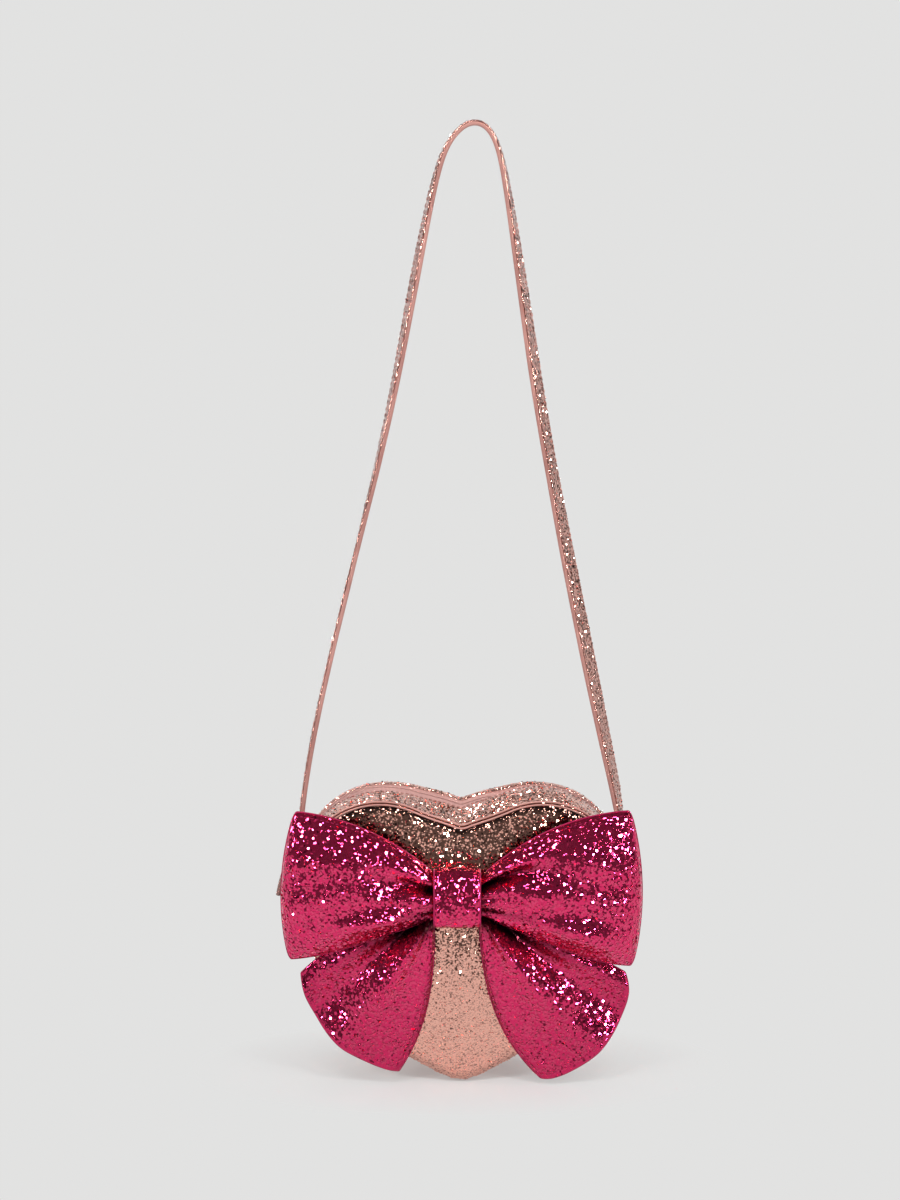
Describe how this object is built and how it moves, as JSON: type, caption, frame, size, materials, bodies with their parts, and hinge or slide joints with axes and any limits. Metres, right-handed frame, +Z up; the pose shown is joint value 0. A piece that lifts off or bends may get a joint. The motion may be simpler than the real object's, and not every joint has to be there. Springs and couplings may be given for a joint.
{
  "type": "heart shaped purse",
  "caption": "Heart shaped glitter purse with a large bow on its front, a zip over its top with a fold-back mouth, and a long shoulder strap.",
  "frame": {"origin": "on the underside of the strap at its highest point, where a hook or shoulder holds it", "axes": "+Z up, +Y to the back of the bag, +X to the right seen from the front"},
  "size_m": [0.196, 0.078, 0.5182],
  "materials": {
    "rose_glitter": "chunky rose glitter on cloth",
    "strap_glitter": "chunky dusty rose glitter on cloth",
    "smooth_rose": "smooth satin imitation leather",
    "zip_cloth": "fine woven zip tape",
    "zip_nylon": "nylon coil",
    "zip_metal": "rose plated metal",
    "lining_cloth": "plain woven lining",
    "foam": "soft interlining",
    "fuchsia_glitter": "chunky hot pink glitter on cloth",
    "bow_stuffing": "gathered cloth",
    "thread": "twisted thread"
  },
  "bodies": {
    "strap": {"strap_face": "strap_glitter", "strap_backing": "smooth_rose"},
    "flap": {"flap_panel": "rose_glitter", "flap_foam": "foam", "flap_lining": "lining_cloth", "flap_piping": "smooth_rose", "flap_gusset": "rose_glitter", "zip_tape_back": "zip_cloth", "zip_coil_back": "zip_nylon"},
    "slider": {"zip_slider": "zip_metal"},
    "pull": {"zip_pull": "zip_metal"},
    "bag": {"front_panel": "rose_glitter", "side_gusset": "rose_glitter", "top_gusset": "rose_glitter", "back_panel": "rose_glitter", "strap_end_left": "strap_glitter", "strap_end_right": "strap_glitter", "zip_tail": "strap_glitter", "front_piping": "smooth_rose", "back_piping": "smooth_rose", "zip_tape_front": "zip_cloth", "zip_coil_front": "zip_nylon", "zip_stops": "zip_metal", "front_lining": "lining_cloth", "side_gusset_lining": "lining_cloth", "top_gusset_lining": "lining_cloth", "back_lining": "lining_cloth", "front_foam": "foam", "back_foam": "foam", "bow_loop_left": "fuchsia_glitter", "bow_loop_right": "fuchsia_glitter", "bow_tail_left": "fuchsia_glitter", "bow_tail_right": "fuchsia_glitter", "bow_knot": "fuchsia_glitter", "bow_core": "bow_stuffing", "bow_tack": "bow_stuffing", "strap_end_stitches": "thread"}
  },
  "joints": [
    {"name": "bag_swing", "type": "hinge", "parent": "strap", "child": "bag", "pos_m": [-0.00725, 0, -0.3512], "axis": [1, 0, 0], "range_deg": [-85, 85]},
    {"name": "mouth_open", "type": "hinge", "parent": "bag", "child": "flap", "pos_m": [-0.00725, 0.036, -0.38622], "axis": [-1, 0, 0], "range_deg": [0, 38]},
    {"name": "zip_slide", "type": "hinge", "parent": "flap", "child": "slider", "pos_m": [0.03675, 0.021, -0.40317], "axis": [0, -1, 0], "range_deg": [0, 72.2]},
    {"name": "pull_swing", "type": "hinge", "parent": "slider", "child": "pull", "pos_m": [0.07667, 0.021, -0.37624], "axis": [0, -1, 0], "range_deg": [0, 140]}
  ],
  "couplings": [
    {"joint": "zip_slide", "follows": "mouth_open", "ratio": 1.9}
  ]
}
